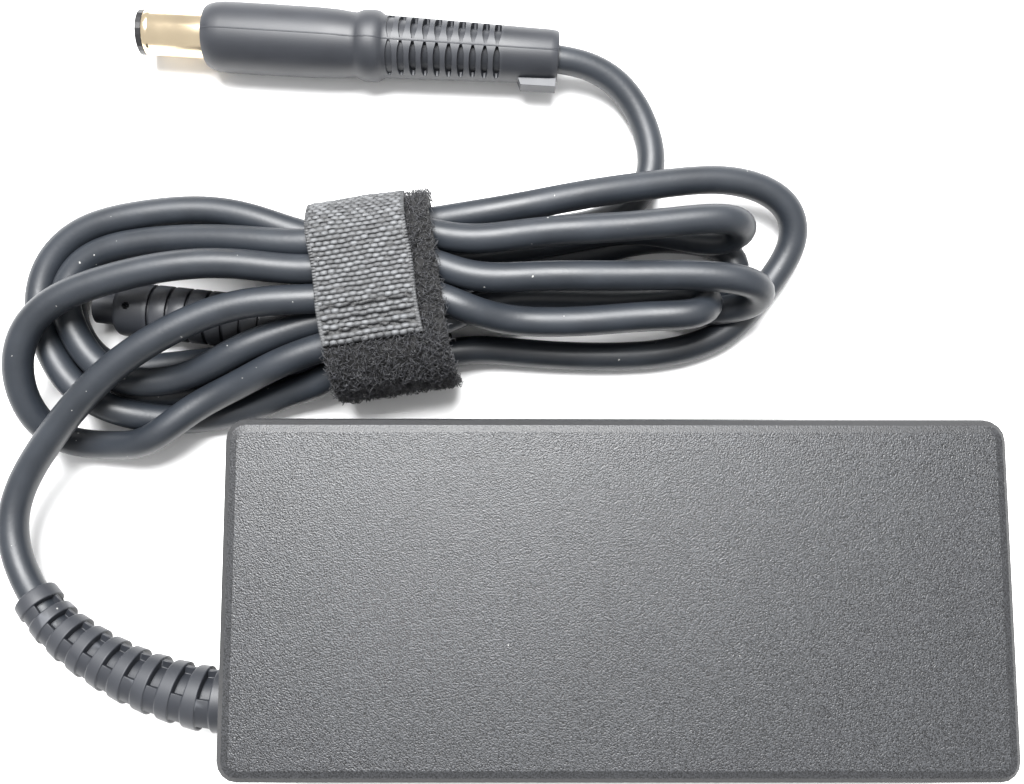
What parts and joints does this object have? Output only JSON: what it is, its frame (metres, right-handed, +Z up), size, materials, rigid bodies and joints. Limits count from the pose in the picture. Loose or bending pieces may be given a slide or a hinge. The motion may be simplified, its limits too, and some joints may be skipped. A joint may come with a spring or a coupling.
{
  "type": "laptop power adapter",
  "caption": "Black brick laptop power adapter with its output lead hanked in a hook-and-loop strap, ribbed boot, barrel plug and converter tip, and a cloverleaf mains inlet.",
  "frame": {"origin": "middle of the case's underside, on the surface it rests on", "axes": "+X along the case towards the mains inlet, +Y across it towards the hank of lead, +Z up"},
  "size_m": [0.147, 0.1193, 0.0295],
  "materials": {
    "case_shell": "fine spark-eroded grain",
    "label_film": "blank satin film",
    "inlet_plastic": "moulded, satin",
    "pin_metal": "tinned",
    "board_laminate": "solder resist",
    "insulating_film": "plain film",
    "spreader_aluminium": "mill finish",
    "fuse_glass": "clear",
    "component_epoxy": "moulded epoxy",
    "film_case": "plain",
    "ferrite": "sintered",
    "winding_copper": "enamelled copper",
    "capacitor_sleeve": "shrink sleeve",
    "transformer_tape": "polyester tape",
    "ceramic_disc": "dipped",
    "coupler_plastic": "moulded",
    "pad_silicone": "soft",
    "wire_brown": "extruded",
    "wire_blue": "extruded",
    "wire_green": "extruded",
    "wire_red": "extruded",
    "wire_black": "extruded",
    "wire_white": "extruded",
    "moulded_pvc": "soft moulding, satin",
    "cord_jacket": "extruded, semi-gloss",
    "loop_pile": "fuzzy loop pile",
    "hook_weave": "woven backing",
    "plug_contact": "plated, bright",
    "tip_plastic": "moulded"
  },
  "bodies": {
    "root": {"top_shell": "case_shell", "bottom_shell": "case_shell", "rating_label": "label_film", "inlet_housing": "inlet_plastic", "live_pin": "pin_metal", "neutral_pin": "pin_metal", "earth_pin": "pin_metal", "circuit_board": "board_laminate", "insulating_tray": "insulating_film", "heat_spreader": "spreader_aluminium", "fuse": "fuse_glass", "thermistor": "component_epoxy", "x_capacitor": "film_case", "bridge_rectifier": "component_epoxy", "choke_core": "ferrite", "choke_winding_live": "winding_copper", "choke_winding_neutral": "winding_copper", "bulk_capacitor": "capacitor_sleeve", "primary_heatsink": "spreader_aluminium", "power_transistor": "component_epoxy", "control_chip": "component_epoxy", "transformer_core_rear": "ferrite", "transformer_core_front": "ferrite", "transformer_winding": "transformer_tape", "y_capacitor": "ceramic_disc", "optocoupler": "coupler_plastic", "output_heatsink": "spreader_aluminium", "output_rectifier": "component_epoxy", "output_capacitor_a": "capacitor_sleeve", "output_capacitor_b": "capacitor_sleeve", "output_inductor": "winding_copper", "primary_thermal_pad": "pad_silicone", "output_thermal_pad": "pad_silicone", "live_wire": "wire_brown", "neutral_wire": "wire_blue", "earth_wire": "wire_green", "positive_wire": "wire_red", "return_wire": "wire_black", "sense_wire": "wire_white", "lead_boot": "moulded_pvc", "cable_lead": "cord_jacket", "cable_hank": "cord_jacket", "cable_tail": "cord_jacket", "strap_loop_tape": "loop_pile", "strap_hook_tape": "hook_weave", "plug_overmould": "moulded_pvc", "plug_outer_barrel": "plug_contact", "plug_tip_ring": "tip_plastic", "plug_inner_sleeve": "plug_contact", "plug_centre_pin": "plug_contact", "converter_body": "moulded_pvc", "converter_contact": "plug_contact"}
  },
  "joints": []
}
